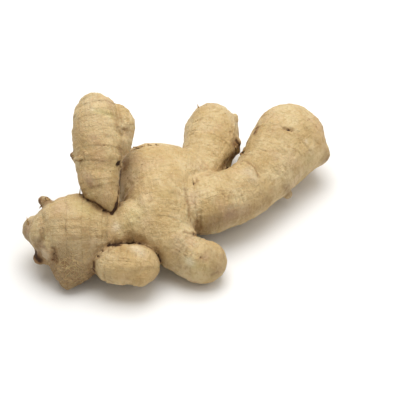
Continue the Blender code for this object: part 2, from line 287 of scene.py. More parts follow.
# Brown stains, some of them painted shade along creases and under the fingers; pink, green and pale
# patches, netted skin, and old bark with painted shade under the largest finger, marked as the pits
# are.
STAINS_AND_SHADE = [
    ([(34, 253), (36, 258), (40, 262)], 2.6, 0.85),
    ([(38, 255), (41, 261)], 1.8, 0.6),
    # Painted shade under the left knuckle.
    ([(61, 249), (72, 248), (88, 250)], 4.0, 0.22),
    # Partly rough brown skin, partly painted shade under the largest finger.
    ([(205, 228), (226, 223), (246, 214), (268, 200)], 5.0, 0.4),
    ([(83, 155), (92, 157), (104, 160), (113, 161)], 1.2, 0.4),
    ([(88, 183), (93, 186), (98, 186)], 1.5, 0.5),
    ([(86, 195), (95, 201), (103, 209), (110, 214)], 1.2, 0.55),
    # Painted shade in the crevice beside the upright finger.
    ([(118, 187), (119, 200)], 1.6, 0.5),
    ([(126, 160), (128, 166), (124, 172)], 2.2, 0.55),
    ([(127, 128), (127, 134)], 2.0, 0.35),
    ([(122, 146), (130, 150)], 2.0, 0.35),
    ([(185, 189), (186.2, 196.6), (187.3, 202.7), (188.1, 208), (188.5, 214), (190, 221)], 0.9, 0.6),
    ([(193, 226), (202, 227)], 2.4, 0.45),
    ([(127, 236), (140, 238)], 2.6, 0.4),
    ([(143, 230)], 0.8, 0.6),
    ([(150.6, 201.2)], 0.7, 0.5),
    ([(156.7, 182.8)], 0.7, 0.5),
    ([(175, 182.8)], 0.6, 0.45),
    ([(189.2, 149.1)], 0.7, 0.5),
    ([(221.4, 134.6)], 0.7, 0.5),
    ([(104.8, 119)], 0.5, 0.5),
    ([(219.5, 190.4), (224, 190.6)], 0.6, 0.5),
    ([(221.5, 194), (225, 194.5)], 0.6, 0.5),
    ([(231.7, 192), (228.7, 196.6)], 0.8, 0.6),
    ([(255.2, 146)], 0.6, 0.6),
    ([(234, 144), (237, 149), (232, 154), (227, 161)], 1.5, 0.8),
    ([(240, 153), (242, 147)], 1.4, 0.8),
    ([(246.5, 149.7)], 0.8, 0.6),
    ([(246, 162), (251, 164.5), (255.6, 169.6), (258, 176)], 0.7, 0.75),
    ([(257.5, 126.5), (254.5, 134.5)], 0.9, 0.8),
    ([(284, 186), (290, 192), (284, 197)], 1.6, 0.45),
    ([(221.3, 249), (223.5, 257)], 0.9, 0.6),
    ([(211.4, 275), (216, 272)], 1.0, 0.55),
    ([(185.5, 255.4)], 0.8, 0.5),
    ([(156, 248), (160.5, 255.4)], 1.2, 0.55),
    ([(111.4, 280.4)], 0.6, 0.6),
    ([(136.9, 280.8)], 0.7, 0.6),
    ([(45, 200.5), (48, 199)], 1.2, 0.8),
    ([(40, 199), (40.5, 206)], 1.3, 0.9),
    ([(27.7, 222.8)], 1.0, 0.7),
    ([(40.7, 241.2)], 1.2, 0.5),
    ([(52.9, 222), (62.8, 219.8)], 0.6, 0.45),
    ([(104.2, 232.8), (113.3, 232.8)], 0.6, 0.45),
    ([(61, 229), (75, 230.5), (95, 230)], 0.6, 0.3),
    ([(52, 258), (56, 262), (62, 262)], 2.4, 0.5),
    ([(114.9, 246.6), (104.2, 253.5), (95.7, 260.3), (94.6, 268)], 0.7, 0.6),
    ([(72.6, 153), (73.5, 159)], 1.2, 0.9),
    ([(330, 157), (328, 161)], 1.2, 0.5),
    ([(309.5, 149.7)], 1.6, 0.3),
    # Painted shade under the largest finger.
    ([(230, 215), (243, 212)], 3.0, 0.35),
]
BLUSHES = [
    ([(88, 178), (90, 181)], 2.6, 0.8),
    ([(93.7, 138)], 2.4, 0.6),
    ([(29.5, 229)], 2.0, 0.8),
    ([(57, 210), (66, 208)], 3.2, 0.5),
    ([(136.5, 158)], 3.0, 0.5),
    ([(193.5, 196), (192, 202)], 3.0, 0.6),
    ([(205, 257)], 2.0, 0.6),
    ([(191, 243)], 3.0, 0.4),
    ([(234, 144)], 1.8, 0.7),
    ([(230, 215), (247, 211)], 3.4, 0.5),
    ([(81, 129)], 3.0, 0.3),
    ([(111, 103), (105, 100)], 2.0, 0.5),
]
GREENS = [
    ([(188, 260), (192, 264)], 2.2, 0.9),
    ([(94, 111), (104, 112.5), (112, 115)], 1.6, 1.0),
    ([(78, 204), (88, 210)], 4.5, 0.5),
    ([(46, 247)], 2.0, 0.4),
    ([(133, 221), (136, 214)], 3.4, 0.4),
]
PALES = [
    ([(92.3, 110.3)], 1.0, 0.9),
    ([(120.8, 162)], 0.5, 1.0),
    ([(116.4, 227.4)], 2.4, 0.5),
    ([(47, 251.5), (48, 254)], 2.4, 0.6),
    ([(188.5, 260.5), (191, 263)], 1.8, 0.55),
    ([(135, 247), (141, 253)], 2.6, 0.4),
    ([(247, 171), (254, 178)], 2.4, 0.3),
    ([(92, 102), (97, 122)], 6.0, 0.18),
    ([(307, 141)], 1.2, 0.6),
    ([(321, 168), (326, 163)], 1.8, 0.3),
]
NETTED = [([(67, 262), (75, 272)], 7.5, 1.0), ([(250, 180), (262, 196)], 3.0, 0.4)]
BARKS_AND_SHADE = [
    ([(214, 252), (222, 262), (216, 274)], 5.0, 0.3),
    ([(176, 242), (182, 262)], 3.5, 0.3),
    ([(124, 150), (128, 140)], 5.0, 0.25),
    ([(131, 152), (128, 160)], 3.0, 0.4),
    ([(286, 188), (291, 196)], 3.0, 0.45),
    ([(58, 222), (86, 232)], 13.0, 0.22),
    ([(27, 226), (29, 240)], 5.0, 0.8),
    ([(38, 246), (40, 258)], 4.0, 0.9),
    ([(43, 201)], 3.0, 0.7),
    ([(52, 262), (66, 280)], 6.0, 0.6),
    ([(326, 150), (328, 160)], 3.5, 0.35),
    # Painted shade under the largest finger, laid on as bark.
    ([(212, 222), (232, 214)], 4.0, 0.45),
]
# Old, dried skin: where it lies in row millimetres, its reach and its strength. It ends at
# OLD_END reaches from there, and is full one reach nearer.
OLD_SKIN = [
    ((-51, -42, 8), 15.0, 0.9),
    ((-70, -43, 12), 6.0, 0.9),
    ((-66, -24, 31), 6.0, 0.8),
    ((66, 28, 17), 8.0, 0.35),
]
OLD_END = 1.4
# Dried scales: the pixel they grow from, the way they point, and length, width and lift.
SCALES = [
    ((75, 158), (-0.8, -0.6), 2.6, 2.0, 1.0),
    ((80, 160), (0.4, -0.9), 2.2, 1.6, 0.9),
    ((129, 149), (0.4, 0.9), 2.0, 1.6, 0.6),
    ((142, 146.8), (-0.95, 0.25), 6.0, 2.6, 1.4),
    ((151, 145.2), (-0.9, -0.3), 2.4, 1.4, 0.9),
    ((158, 145), (-0.9, -0.2), 2.0, 1.2, 0.8),
    ((236, 148), (0.9, -0.2), 3.2, 2.4, 0.7),
    ((244, 150), (-0.8, 0.6), 2.6, 2.0, 0.8),
    ((47, 199.5), (-0.2, -0.9), 1.8, 2.6, 0.5),
    ((123, 163), (-0.7, -0.3), 2.0, 1.2, 0.9),
]
SCALE_STEPS = 5
SCALE_THICKNESS = 0.35
# A scale's share of length behind its root, its root's depth and its middle's curl in
# millimetres, and the least square of its width's share.
SCALE_BEHIND = 0.25
SCALE_DEPTH = 0.25
SCALE_CURL = 0.35
SCALE_LEAST = 0.02
# Thin dried spikes: the pixels of root and tip, and the radius at the root in millimetres.
SPIKES = [
    ((79.5, 196), (80.4, 187), 0.5),
    ((28.5, 224), (26.8, 215.8), 0.55),
    ((198.5, 107.5), (197.5, 103.6), 0.6),
    ((41.5, 206), (39.0, 209), 0.5),
]
# A spike's sides, how far along it its rings are, and its bend in millimetres.
SPIKE_SIDES = 7
SPIKE_RINGS = (0.0, 0.35, 0.7)
SPIKE_BEND = 0.3

# The colours of the skin and of what dries on it.
TAN = (0.61, 0.437, 0.206)
CREAM = (0.71, 0.56, 0.315)
OCHRE = (0.46, 0.295, 0.115)
RUST = (0.29, 0.145, 0.05)
BROWN = (0.23, 0.115, 0.04)
SHADE_AND_MARK_BROWN = (0.045, 0.016, 0.003)
PINK = (0.62, 0.385, 0.28)
OLIVE = (0.52, 0.47, 0.17)
CHALK = (0.86, 0.78, 0.62)
BARK = (0.30, 0.20, 0.115)
SCALE_BROWN = (0.13, 0.07, 0.03)

# Blotches all over the skin, in the order in which they are laid on: wave size in metres and
# detail, the noise where they begin and where they are full, their strength and their colour.
BLOTCHES = [
    (0.0019, 3.0, 0.48, 0.7, 0.5, OCHRE),
    (0.0013, 2.0, 0.58, 0.72, 0.6, CREAM),
    (0.0014, 2.0, 0.68, 0.76, 0.5, RUST),
    (0.013, 2.0, 0.5, 0.75, 0.2, PINK),
    (0.019, 3.0, 0.58, 0.8, 0.2, OLIVE),
]
# Stored values that colour the skin evenly: the strength at 1, and the colour.
EVEN_MARKS = {"net": (0.75, BROWN), "green": (0.45, OLIVE), "blush": (0.4, PINK), "pale": (0.8, CHALK)}
# The fine net on netted skin: its cells in metres.
FINE_NET_CELL = 0.0022
# The height of the finest grain's bumps, in metres.
BUMP_HEIGHT = 0.0013
# The skin's gloss, how much light enters it, and how far red, green and blue go, in metres.
SKIN_ROUGHNESS = (0.5, 0.68)
SKIN_SPECULAR = 0.35
SKIN_GLOW = 0.12
SKIN_GLOW_RADIUS = (0.0022, 0.0012, 0.0006)
SCALE_ROUGHNESS = 0.75

# Lights, which aim at the row's origin: place and size in metres, and watts.
LIGHTS = {
    "soft_box": ((0.0, 0.25, 1.0), 0.9, 11.7),
    "side_box": ((0.6, -0.2, 0.7), 0.7, 1.5),
}
ROOM_LIGHT = 0.42
ROOM_COLOUR = (1.0, 0.95, 0.86)
# The floor: its side and how far it lies under the root, in metres, its colour and roughness.
FLOOR_SIZE = 6
FLOOR_DROP = 0.0002
FLOOR_COLOUR = (0.86, 0.86, 0.86)
FLOOR_ROUGHNESS = 0.9


def in_row(point):
    """A point measured as the stations are, in row millimetres."""
    return np.array([point[0] - ORIGIN_MM[0], point[1] - ORIGIN_MM[1], *point[2:]], float)


def smooth_path(stations):
    """Rows of x, y, z, radius and station number along a Catmull-Rom curve through the stations."""
    ends = [2 * stations[0] - stations[1], *stations, 2 * stations[-1] - stations[-2]]
    path = []
    for number, (a, b, c, d) in enumerate(zip(ends, ends[1:], ends[2:], ends[3:])):
        count = max(2, math.ceil(np.linalg.norm(c[:3] - b[:3]) / LOFT_STEP))
        for t in np.arange(count) / count:
            bend = (2 * a - 5 * b + 4 * c - d) * t**2 + (3 * b - a - 3 * c + d) * t**3
            path.append([*(0.5 * (2 * b + (c - a) * t + bend)), number + t])
    path.append([*stations[-1], len(stations) - 1])
    return np.array(path)


def skeleton():
    """Each lobe's fillet and its smooth path, in row millimetres."""
    return {
        name: (fillet, smooth_path([in_row(station) for station in stations]))
        for name, (fillet, stations) in LOBES.items()
    }


def loop_of(mesh, centre, tangent, side, radius):
    """Adds one loop of vertices round an axis, its first vertex towards side."""
    up = tangent.cross(side)
    loop = []
    for turn in np.arange(LOFT_SIDES) * math.tau / LOFT_SIDES:
        loop.append(mesh.verts.new(centre + (side * math.cos(turn) + up * math.sin(turn)) * radius))
    return loop


def dome(centre, tangent, radius):
    """The centre, tangent and radius of each ring of a dome that starts at centre."""
    for slope in DOME_SLOPES:
        yield centre + tangent * radius * math.sin(slope), tangent, radius * math.cos(slope)


def loft(mesh, path):
    """Adds one closed tube along the path to a bmesh, FULLNESS too thick, with a dome at each end."""
    centres = [Vector(row[:3]) for row in path]
    tangents = [Vector(row).normalized() for row in np.gradient(path[:, :3], axis=0)]
    radii = path[:, 3] + FULLNESS
    first_dome = dome(centres[0], -tangents[0], radii[0])
    turned = [(spot, -out, radius) for spot, out, radius in first_dome]
    rings = [*reversed(turned), *zip(centres, tangents, radii)]
    rings += dome(centres[-1], tangents[-1], radii[-1])
    side = tangents[0].orthogonal()
    loops = []
    for centre, tangent, radius in rings:
        side = (side - tangent * side.dot(tangent)).normalized()
        loops.append(loop_of(mesh, centre, tangent, side, radius))
    tip_first = mesh.verts.new(centres[0] - tangents[0] * radii[0])
    tip_last = mesh.verts.new(centres[-1] + tangents[-1] * radii[-1])
    for i in range(LOFT_SIDES):
        j = (i + 1) % LOFT_SIDES
        mesh.faces.new((tip_first, loops[0][j], loops[0][i]))
        mesh.faces.new((tip_last, loops[-1][i], loops[-1][j]))
        for near, far in zip(loops, loops[1:]):
            mesh.faces.new((near[i], near[j], far[j], far[i]))


def within(points, line, room):
    """Which points lie in the box round a line's corners, widened by room."""
    return ((points > line.min(axis=0) - room) & (points < line.max(axis=0) + room)).all(axis=1)


def lobe_field(points, path):
    """Each point's distance from a lobe, its place along it, and its direction round the axis."""
    gap = np.full(len(points), FIELD_MARGIN)
    along = np.zeros(len(points))
    foot = points.copy()
    room = path[:, 3].max() + FIELD_MARGIN
    near = within(points, path[:, :3], room)
    local = points[near]
    best = np.full(len(local), np.inf)
    place = np.zeros(len(local))
    axis_point = local.copy()
    start = 0.0
    for number, (a, b) in enumerate(zip(path, path[1:])):
        step = b[:3] - a[:3]
        length = np.linalg.norm(step)
        free = (local - a[:3]) @ step / length**2
        held = np.clip(free, 0, 1)
        spot = a[:3] + held[:, None] * step
        away = np.linalg.norm(local - spot, axis=1) - (a[3] + held * (b[3] - a[3]))
        low = -np.inf if number == 0 else 0
        high = np.inf if number == len(path) - 2 else 1
        closer = away < best
        place = np.where(closer, start + np.clip(free, low, high) * length, place)
        axis_point = np.where(closer[:, None], spot, axis_point)
        best = np.minimum(best, away)
        start += length
    gap[near] = np.minimum(best, FIELD_MARGIN)
    along[near] = place
    foot[near] = axis_point
    return gap, along, points - foot


def skin_distance(points, lobes):
    """Distance from the whole skin, each lobe joined to those before it by its fillet."""
    total = None
    for fillet, path in lobes.values():
        gap = lobe_field(points, path)[0]
        if total is None:
            total = gap
            continue
        near = np.clip(1 - np.abs(total - gap) / fillet, 0, 1)
        total = np.minimum(total, gap) - near**2 * fillet / 4
    return total


def noise_at(points, scale):
    """Smooth noise between -1 and 1 whose waves are about scale millimetres long."""
    return np.array([noise.noise(Vector(point) / scale) for point in points])


def place_of(path, station):
    """How far along a lobe a station lies, past its ends too."""
    lengths = np.cumsum([0, *np.linalg.norm(np.diff(path[:, :3], axis=0), axis=1)])
    return np.interp(station, path[:, 4], lengths) + min(station, 0) * lengths[-1] / path[-1, 4]


def leaf_scars(points, lobes):
    """Height of the leaf-scar rings, and how near each point is to a ring's brown edge."""
    height = np.zeros(len(points))
    edge = np.zeros(len(points))
    wobble = noise_at(points, SCAR_WOBBLE_SIZE) * SCAR_WOBBLE
    for name, scars in LEAF_SCARS.items():
        path = lobes[name][1]
        gap, along, _ = lobe_field(points, path)
        own = np.clip(1 - gap / SCAR_REACH, 0, 1)
        for station, high in scars:
            past = (along - place_of(path, station) - wobble) / SCAR_WIDTH
            groove = GROOVE_SHARE * np.exp(-((past - GROOVE_PLACE) ** 2))
            height += own * high * (np.exp(-(past**2)) - groove)
            brown = np.exp(-(((past - EDGE_PLACE) / EDGE_WIDTH) ** 2))
            edge = np.maximum(edge, own * high * brown)
    return height, edge


def bark_net(points):
    """Height of the raised net round the old stub: cell walls that fade out with distance."""
    height = np.zeros(len(points))
    away = np.linalg.norm(points - in_row(NET_CENTRE), axis=1)
    for i in np.flatnonzero(away < NET_REACH):
        first, second = noise.voronoi(Vector(points[i]) / NET_CELL)[0][:2]
        wall = max(0.0, 1 - (second - first) * NET_STEEPNESS)
        height[i] = NET_HEIGHT * wall * min(1.0, (1 - away[i] / NET_REACH) * NET_FADING)
    return height


def growth(points, lobes):
    """Each point's place round and along its own lobe, and how much nearer that is than the next."""
    first = np.full(len(points), np.inf)
    second = np.full(len(points), np.inf)
    grain = np.zeros((len(points), 3))
    for _, path in lobes.values():
        gap, along, out = lobe_field(points, path)
        axis = path[-1, :3] - path[0, :3]
        axis /= np.linalg.norm(axis)
        side = np.cross(axis, FIXED_SIDE)
        side /= np.linalg.norm(side)
        up = np.cross(axis, side)
        across = np.column_stack([out @ side, out @ up])
        offset = np.maximum(np.linalg.norm(across, axis=1), LEAST_OFFSET)
        across *= path[:, 3].mean() / offset[:, None]
        closer = gap < first
        second = np.where(closer, first, np.minimum(second, gap))
        grain = np.where(closer[:, None], np.column_stack([across, along]), grain)
        first = np.where(closer, gap, first)
    return grain, second - first


def photo_ray(pixel):
    """The camera's place and the direction of its ray through a pixel, in row millimetres."""
    pitch = CAMERA_SENSOR / CAMERA_LENS / PHOTO_SIDE
    ray = -PHOTO_BACK + PHOTO_RIGHT * (pixel[0] - PHOTO_MIDDLE) * pitch
    ray += PHOTO_UP * (PHOTO_MIDDLE - pixel[1]) * pitch
    return Vector(in_row((0, 0, 0))) + PHOTO_BACK * CAMERA_DISTANCE, ray.normalized()


def landed(tree, pixel):
    """Where a pixel of the photograph falls on or near the skin, and the skin's normal there."""
    camera, ray = photo_ray(pixel)
    spot, normal, _, _ = tree.ray_cast(camera, ray)
    if spot is None:
        spot, normal, _, _ = tree.find_nearest(camera + ray * CAMERA_DISTANCE)
    return spot, normal


def line_gap(points, line):
    """Each point's distance from a line through corners, in space or on the photograph."""
    away = np.linalg.norm(points - line[0], axis=1)
    for a, b in zip(line, line[1:]):
        step = b - a
        held = np.clip((points - a) @ step / (step @ step), 0, 1)
        away = np.minimum(away, np.linalg.norm(points - a - held[:, None] * step, axis=1))
    return away


def marked(points, marks, tree):
    """How strongly each point lies under the marks of one kind."""
    weight = np.zeros(len(points))
    for pixels, reach, strength in marks:
        line = np.array([landed(tree, pixel)[0] for pixel in pixels])
        near = within(points, line, MARK_ROOM * reach)
        away = line_gap(points[near], line)
        weight[near] = np.maximum(weight[near], strength * np.exp(-((away / reach) ** 2)))
    return weight


def hollow(points, tree):
    """How deep the dents are at each point, below zero on the bumps."""
    dents = [dent for dent in DENTS if dent[2] > 0]
    bumps = [(pixels, reach, -depth) for pixels, reach, depth in DENTS if depth < 0]
    return marked(points, dents, tree) - marked(points, bumps, tree)


def fine_relief(points, lobes):
    """The low relief that follows the growth: minor rings, wrinkles and pebbled skin."""
    grain, spare = growth(points, lobes)
    own = np.clip(spare / OWN_BAND, 0, 1)
    high, across, along = MINOR_RINGS
    ring = 1 - np.abs(noise_at(grain / (across, across, along), 1.0)) * RING_SHARPNESS
    patch = noise_at(points, RING_PATCH_SIZE) * RING_PATCH_SLOPE + RING_PATCH_START
    height = own * high * np.clip(patch, 0, 1) * np.clip(ring, 0, 1)
    for high, across, along in (WRINKLES, CROSS_WRINKLES):
        height += own * high * noise_at(grain / (across, across, along), 1.0)
    high, size = PEBBLES
    return height + high * noise_at(points, size)


def relief(points, lobes):
    """How far the surface stands out from the smooth skin, down to none at the table."""
    fade = np.clip(noise_at(points, FADE_SIZE) * FADE_SLOPE + FADE_START, FADE_LEAST, 1)
    height = leaf_scars(points, lobes)[0] * fade + bark_net(points)
    for high, wide in LUMPS:
        height += high * noise_at(points, wide)
    return height * np.clip(points[:, 2] / CALM_BELOW, 0, 1)


def rows_of(items, key):
    """Three numbers for each item of a mesh's list."""
    rows = np.empty(len(items) * 3, np.float32)
    items.foreach_get(key, rows)
    return rows.reshape(-1, 3).astype(float)


def mesh_points(mesh):
    return rows_of(mesh.vertices, "co")


def mesh_normals(mesh):
    return rows_of(mesh.vertex_normals, "vector")


def linked(name, data):
    """A new object of the scene."""
    obj = bpy.data.objects.new(name, data)
    bpy.context.scene.collection.objects.link(obj)
    return obj


def object_of(shape, name):
    """Makes an object of a bmesh of closed shapes, and frees the bmesh."""
    bmesh.ops.recalc_face_normals(shape, faces=shape.faces)
    mesh = bpy.data.meshes.new(name)
    shape.to_mesh(mesh)
    shape.free()
    return linked(name, mesh)


def search_tree(obj):
    return BVHTree.FromObject(obj, bpy.context.evaluated_depsgraph_get())


def evened(mesh):
    """Evens out the spacing of the vertices, which also opens any fold."""
    shape = bmesh.new()
    shape.from_mesh(mesh)
    axes = {"use_axis_x": True, "use_axis_y": True, "use_axis_z": True}
    bmesh.ops.smooth_vert(shape, verts=shape.verts, factor=0.5, **axes)
    shape.to_mesh(mesh)
    shape.free()


def settle(mesh, lobes, height):
    """Brings the vertices towards a height above the filleted skin, along their normals."""
    points = mesh_points(mesh)
    step = np.clip(height - skin_distance(points, lobes), -STEP_LIMIT, STEP_LIMIT)
    points += mesh_normals(mesh) * step[:, None]
    mesh.vertices.foreach_set("co", points.astype(np.float32).ravel())
    mesh.update()


def applied(obj):
    """Replaces an object's mesh by its evaluated one, and clears its modifiers."""
    graph = bpy.context.evaluated_depsgraph_get()
    mesh = bpy.data.meshes.new_from_object(obj.evaluated_get(graph))
    obj.modifiers.clear()
    old = obj.data
    obj.data = mesh
    bpy.data.meshes.remove(old)


def merged(obj, voxel):
    """Makes one clean closed skin of an object whose shapes overlap, or whose surface folds."""
    remesh = obj.modifiers.new("merge", "REMESH")
    remesh.mode = "VOXEL"
    remesh.voxel_size = voxel
    applied(obj)


def lofted_lobes(lobes):
    """One object, in millimetres, that holds a tube for each lobe."""
    shape = bmesh.new()
    for _, path in lobes.values():
        loft(shape, path)
    return object_of(shape, "skin")


def cut_at_table(mesh):
    """Takes off what reaches below the table, and closes each cut with a flat face."""
    shape = bmesh.new()
    shape.from_mesh(mesh)
    table = {"plane_co": (0, 0, 0), "plane_no": (0, 0, 1)}
    everything = [*shape.verts, *shape.edges, *shape.faces]
    bmesh.ops.bisect_plane(shape, geom=everything, clear_inner=True, **table)
    rims = [edge for edge in shape.edges if edge.is_boundary]
    flats = bmesh.ops.holes_fill(shape, edges=rims)["faces"]
    bmesh.ops.triangulate(shape, faces=flats)
    bmesh.ops.recalc_face_normals(shape, faces=shape.faces)
    shape.to_mesh(mesh)
    shape.free()


def add_values(mesh, name, values):
    """Stores one number or one vector for each vertex."""
    kind, key = ("FLOAT", "value") if values.ndim == 1 else ("FLOAT_VECTOR", "vector")
    attribute = mesh.attributes.new(name, kind, "POINT")
    attribute.data.foreach_set(key, values.astype(np.float32).ravel())


def paint(skin, lobes, tree):
    """Stores what the material reads: scars, painted crease and seam shade, bark, marks and the
    growth's own coordinates.
    """
    mesh = skin.data
    points = mesh_points(mesh)
    grain, spare = growth(points, lobes)
    add_values(mesh, "grain", grain)
    add_values(mesh, "own", np.clip(spare / OWN_BAND, 0, 1))
    seen = (points, mesh_normals(mesh), search_tree(skin))
    add_values(mesh, "crease_shade_and_marks", np.maximum(crease_depth(*seen), seam_shade_and_marks(*seen)))
    add_values(mesh, "scar", leaf_scars(points, lobes)[1])
    add_values(mesh, "net", bark_net(points) / NET_HEIGHT)
    old = np.zeros(len(points))
    for centre, reach, strength in OLD_SKIN:
        away = np.linalg.norm(points - centre, axis=1)
        old = np.maximum(old, strength * np.clip(OLD_END - away / reach, 0, 1))
    add_values(mesh, "old", np.maximum(old, marked(points, BARKS_AND_SHADE, tree)))
    for name, marks in {"stain_and_shade": STAINS_AND_SHADE, "blush": BLUSHES, "green": GREENS, "pale": PALES}.items():
        add_values(mesh, name, marked(points, marks, tree))
    add_values(mesh, "pit", np.clip(marked(points, PITS, tree), 0, 1))
    add_values(mesh, "netted", marked(points, NETTED, tree))


def photo_pixels(points):
    """The pixel of the photograph that each point falls on."""
    camera, ahead = photo_ray((PHOTO_MIDDLE, PHOTO_MIDDLE))
    far = points - np.array(camera)
    zoom = CAMERA_LENS / CAMERA_SENSOR * PHOTO_SIDE / (far @ np.array(ahead))
    right = far[:, 0] * zoom
    up = far @ np.array(PHOTO_UP) * zoom
    return np.column_stack([PHOTO_MIDDLE + right, PHOTO_MIDDLE - up])


def seam_shade_and_marks(points, normals, tree):
    """How much painted shade, or real dark mark, each seam puts on the skin, where the photograph
    shows it.
    """
    pixels = photo_pixels(points)
    ragged = 1 + SEAM_RAGGED * noise_at(points, SEAM_RAGGED_SIZE)
    shade = np.zeros(len(points))
    for line, reach, strength in SEAM_SHADE_AND_MARKS:
        away = line_gap(pixels, np.array(line))
        shade = np.maximum(shade, strength * np.exp(-((away / reach / ragged) ** 2)))
    camera, _ = photo_ray((PHOTO_MIDDLE, PHOTO_MIDDLE))
    for index in np.flatnonzero(shade > SEAM_LEAST):
        start = Vector(points[index] + LINE_START * normals[index])
        ray = (camera - start).normalized()
        facing = ray.dot(Vector(normals[index]))
        shut = tree.ray_cast(start, ray)[0] is not None
        shade[index] *= 0 if shut else min(1, max(0, SEAM_FACING_SLOPE * facing - SEAM_FACING_START))
    return shade


def crease_depth(points, normals, tree):
    """How shut in each point is, which sets its painted crease shade: the share of short lines out
    from the skin that meet it again.
    """
    shut = np.zeros(len(points))
    for index, (point, normal) in enumerate(zip(points, normals)):
        normal = Vector(normal)
        side = normal.orthogonal()
        other = normal.cross(side)
        origin = Vector(point) + normal * LINE_START
        leans = (side, -side, other, -other)
        for lean in leans:
            way = (normal * CREASE_LEAN + lean).normalized()
            _, _, _, far = tree.ray_cast(origin, way, CREASE_REACH)
            if far is not None:
                shut[index] += (1 - far / CREASE_REACH) / len(leans)
    return shut


def grown_skin(lobes):
    """The fine skin, smooth first and then with its relief, and a search tree of the smooth one."""
    root = lofted_lobes(lobes)
    merged(root, COARSE_VOXEL)
    for _ in range(SMOOTH_ROUNDS):
        evened(root.data)
        settle(root.data, lobes, 0.0)
    merged(root, VOXEL)
    settle(root.data, lobes, 0.0)
    tree = search_tree(root)
    height = relief(mesh_points(root.data), lobes)
    for _ in range(RELIEF_ROUNDS):
        settle(root.data, lobes, height)
    merged(root, VOXEL)
    points = mesh_points(root.data)
    height = relief(points, lobes) + fine_relief(points, lobes)
    height -= marked(points, PITS, tree) + hollow(points, tree)
    for _ in range(FINE_ROUNDS):
        settle(root.data, lobes, height)
    cut_at_table(root.data)
    return root, tree


def add_node(nodes, kind, **values):
    """Adds a shader node, and sets its plain properties."""
    node = nodes.new(kind)
    for name, value in values.items():
        setattr(node, name, value)
    return node


class Painter:
    """Builds a material's node tree, one short call for each step."""

    def __init__(self, material):
        self.tree = material.node_tree
        self.nodes = self.tree.nodes
        self.shader = self.nodes["Principled BSDF"]
        self.place = self.nodes.new("ShaderNodeTexCoord").outputs["Object"]

    def wire(self, value, socket):
        """Connects an output to a socket, or sets the socket to a plain value."""
        if isinstance(value, bpy.types.NodeSocket):
            self.tree.links.new(value, socket)
        else:
            socket.default_value = value

    def value(self, name, kind="Fac"):
        """A number or a vector stored on the mesh."""
        node = self.nodes.new("ShaderNodeAttribute")
        node.attribute_name = name
        return node.outputs[kind]

    def scaled(self, vector, sizes):
        """A vector divided by sizes."""
        node = add_node(self.nodes, "ShaderNodeVectorMath", operation="DIVIDE")
        self.wire(vector, node.inputs[0])
        node.inputs[1].default_value = sizes
        return node.outputs[0]

    def clouds(self, size, detail=3.0, vector=None, roughness=0.55):
        """Noise from 0 to 1 whose waves are about size long, in the vector's own units."""
        node = self.nodes.new("ShaderNodeTexNoise")
        self.wire(self.place if vector is None else vector, node.inputs["Vector"])
        node.inputs["Scale"].default_value = 1 / size
        node.inputs["Detail"].default_value = detail
        node.inputs["Roughness"].default_value = roughness
        return node.outputs["Fac"]

    def streaks(self, across, along, detail=3.0):
        """Noise from 0 to 1 that follows the growth, with sizes across and along it in millimetres."""
        sizes = (across, across, along)
        return self.clouds(1.0, detail, self.scaled(self.value("grain", "Vector"), sizes))

    def cells(self, size, feature="F1"):
        """The distance from the middle, or from the edge, of random cells."""
        node = add_node(self.nodes, "ShaderNodeTexVoronoi", feature=feature)
        self.wire(self.place, node.inputs["Vector"])
        node.inputs["Scale"].default_value = 1 / size
        return node.outputs["Distance"]

    def ramp(self, value, low, high, start=0.0, end=1.0):
        """Maps low..high to start..end, held at both ends."""
        node = add_node(self.nodes, "ShaderNodeMapRange", interpolation_type="SMOOTHSTEP")
        self.wire(value, node.inputs["Value"])
        ends = {"From Min": low, "From Max": high, "To Min": start, "To Max": end}
        for name, number in ends.items():
            node.inputs[name].default_value = number
        return node.outputs["Result"]

    def combined(self, operation, values):
        """Adds or multiplies outputs and plain numbers, from the first to the last."""
        total = values[0]
        for value in values[1:]:
            node = add_node(self.nodes, "ShaderNodeMath", operation=operation)
            self.wire(total, node.inputs[0])
            self.wire(value, node.inputs[1])
            total = node.outputs[0]
        return total

    def plus(self, *values):
        return self.combined("ADD", values)

    def times(self, *values):
        return self.combined("MULTIPLY", values)

    def mix(self, amount, base, other):
        """Mixes two colours, each an output or three numbers."""
        node = add_node(self.nodes, "ShaderNodeMix", data_type="RGBA")
        self.wire(amount, node.inputs[0])
        for colour, socket in ((base, node.inputs[6]), (other, node.inputs[7])):
            self.wire(colour if isinstance(colour, bpy.types.NodeSocket) else (*colour, 1), socket)
        return node.outputs[2]


def growth_colour(p):
    """The tan skin with its clouds and blotches, and the streaks and scars of its growth."""
    own = p.value("own")
    colour = p.mix(p.ramp(p.clouds(0.016), 0.35, 0.65), TAN, CREAM)
    colour = p.mix(p.ramp(p.clouds(0.009, 4.0), 0.45, 0.75, 0, 0.5), colour, OCHRE)
    short = p.ramp(p.streaks(3.6, 1.5), 0.52, 0.7, 0, 0.5)
    colour = p.mix(p.times(own, short), colour, OCHRE)
    for size, detail, begin, full, strength, over in BLOTCHES:
        colour = p.mix(p.ramp(p.clouds(size, detail), begin, full, 0, strength), colour, over)
    fibres = p.ramp(p.streaks(0.8, 6.0), 0.5, 0.75, 0, 0.32)
    colour = p.mix(p.times(own, fibres), colour, OCHRE)
    patch = p.ramp(p.clouds(0.007, 2.0), 0.4, 0.6)
    dashes = p.ramp(p.streaks(5.0, 0.9, 2.0), 0.56, 0.72, 0, 0.3)
    colour = p.mix(p.times(own, patch, dashes), colour, RUST)
    broken = p.ramp(p.clouds(0.0022, 2.0), 0.4, 0.62)
    fading = p.ramp(p.clouds(0.008, 2.0), 0.42, 0.6, 0.3, 1.0)
    return p.mix(p.times(p.value("scar"), p.times(broken, fading), 0.58), colour, RUST)


def bark_lines(p, most):
    """The threads of the fine net on netted skin, up to most."""
    return p.ramp(p.cells(FINE_NET_CELL, "DISTANCE_TO_EDGE"), 0.16, 0.04, 0, most)


